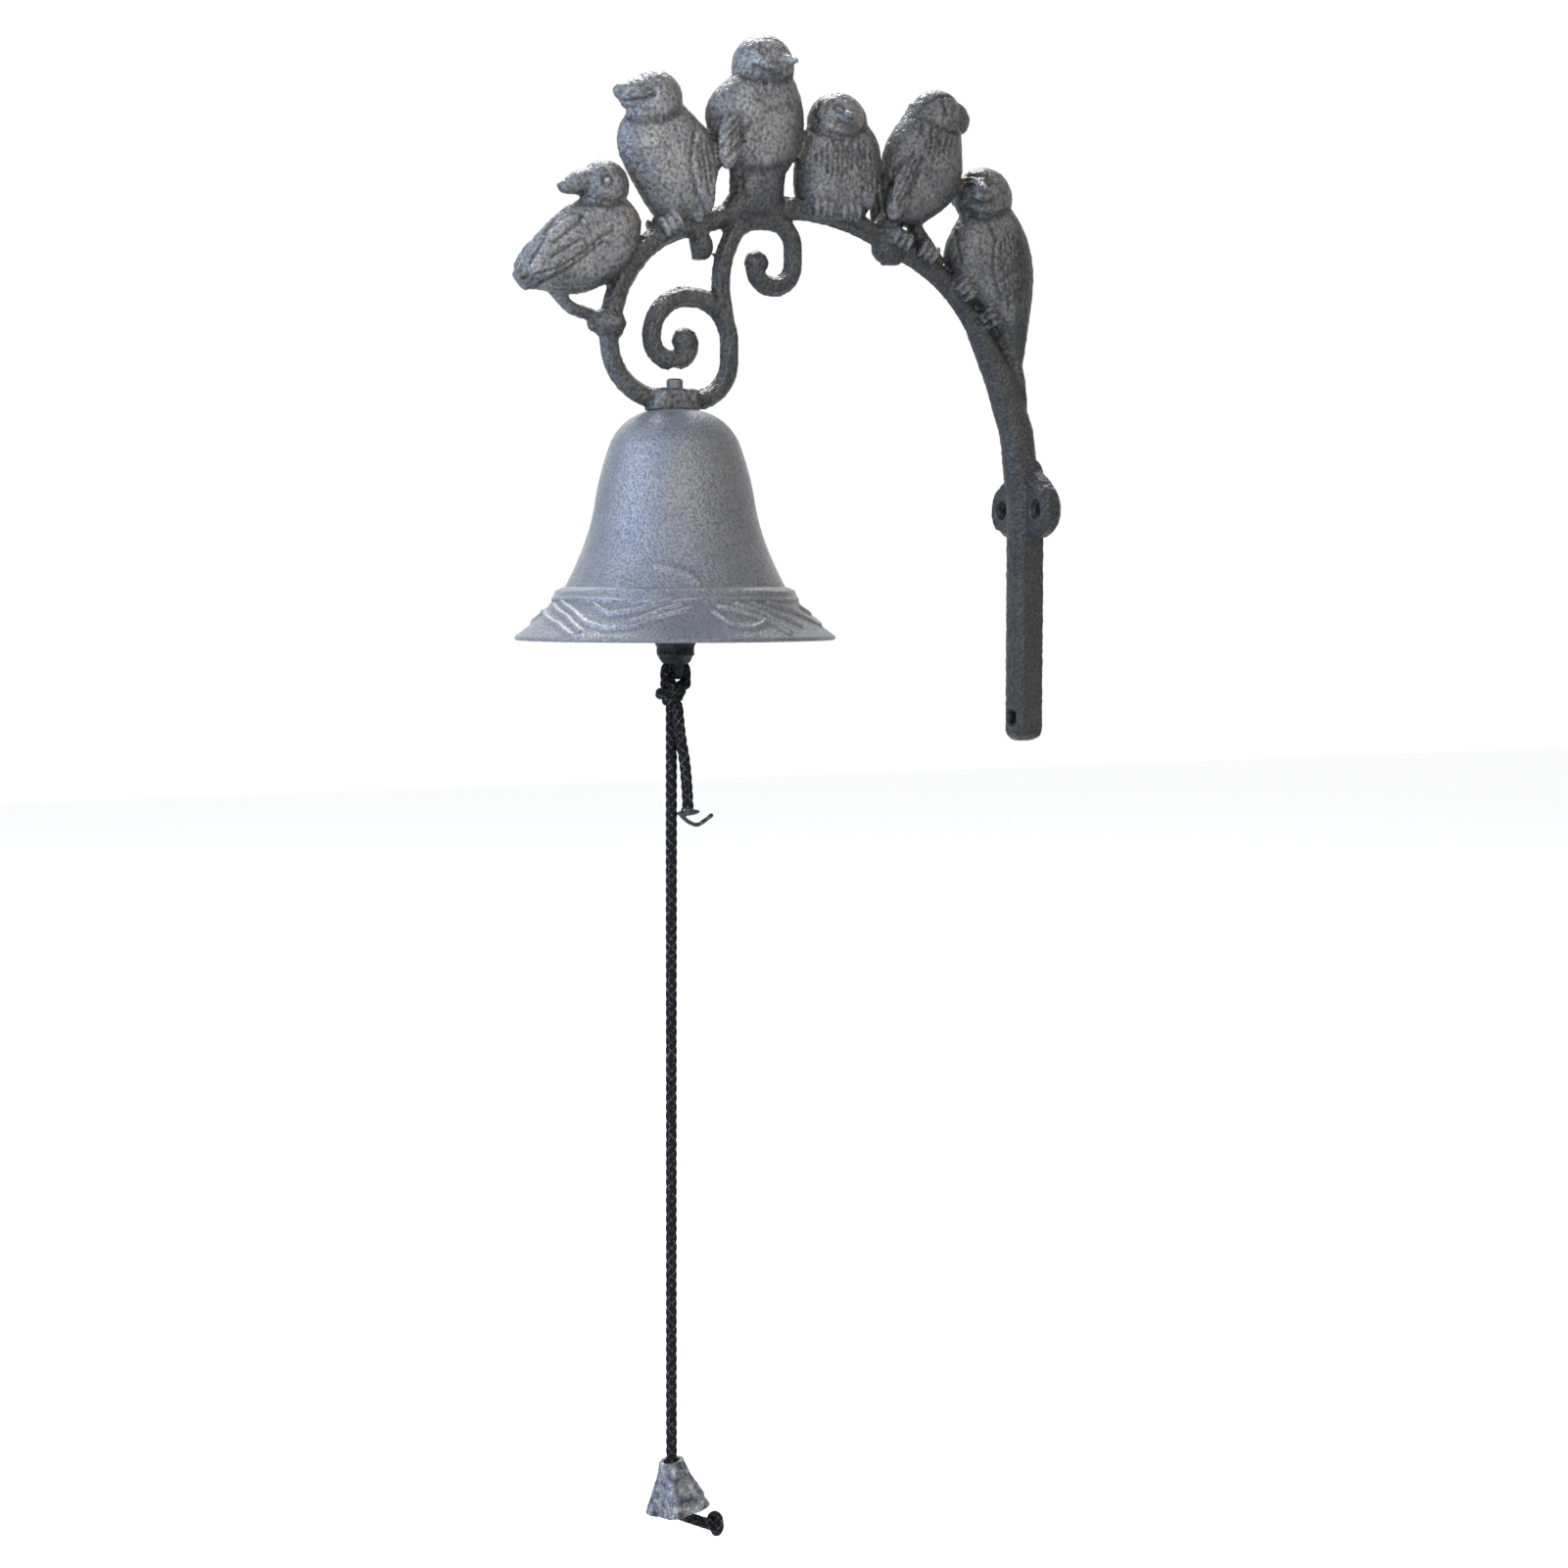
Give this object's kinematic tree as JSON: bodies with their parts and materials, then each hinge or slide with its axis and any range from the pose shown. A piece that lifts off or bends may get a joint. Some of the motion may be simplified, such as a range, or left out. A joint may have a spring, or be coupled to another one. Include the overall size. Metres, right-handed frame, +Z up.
{
  "type": "gate bell",
  "caption": "Wall-mounted cast iron gate bell: a branch bracket with perched birds and scrolls holds a flared bell, rung by a cord with a small cone-shaped weight",
  "frame": {"origin": "on the back face of the wall plate, midway between the two ear screws", "axes": "+X into the wall, +Z up, the bracket lies in the plane Y = 0"},
  "size_m": [0.2051, 0.1104, 0.5254],
  "materials": {
    "bracket_iron": "satin dark grey paint on sand-cast iron",
    "bell_iron": "satin grey paint on sand-cast iron, worn bright on raised edges",
    "pin_iron": "dark paint",
    "link_wire": "dull wire",
    "clapper_iron": "near-black paint",
    "cord": "black braided cord with grey flecks",
    "weight_iron": "mottled worn grey paint on cast iron"
  },
  "bodies": {
    "frame": {"bracket": "bracket_iron", "bell": "bell_iron", "hanger_pin": "pin_iron"},
    "link": {"clapper_link": "link_wire"},
    "striker": {"clapper": "clapper_iron", "cord_loop": "cord"},
    "pull": {"pull_cord": "cord", "cord_tail": "cord", "pull_weight": "weight_iron"}
  },
  "joints": [
    {"name": "link_sway", "type": "hinge", "parent": "frame", "child": "link", "pos_m": [-0.146, 0, 0.0178], "axis": [1, 0, 0], "range_deg": [-14, 14]},
    {"name": "clapper_swing", "type": "hinge", "parent": "link", "child": "striker", "pos_m": [-0.146, 0, 0.0106], "axis": [0, 1, 0], "range_deg": [-28, 28]},
    {"name": "cord_hang", "type": "hinge", "parent": "striker", "child": "pull", "pos_m": [-0.1476, 0, -0.0685], "axis": [0, 1, 0], "range_deg": [-28, 28]}
  ],
  "couplings": [
    {"joint": "cord_hang", "follows": "clapper_swing", "ratio": -1}
  ]
}
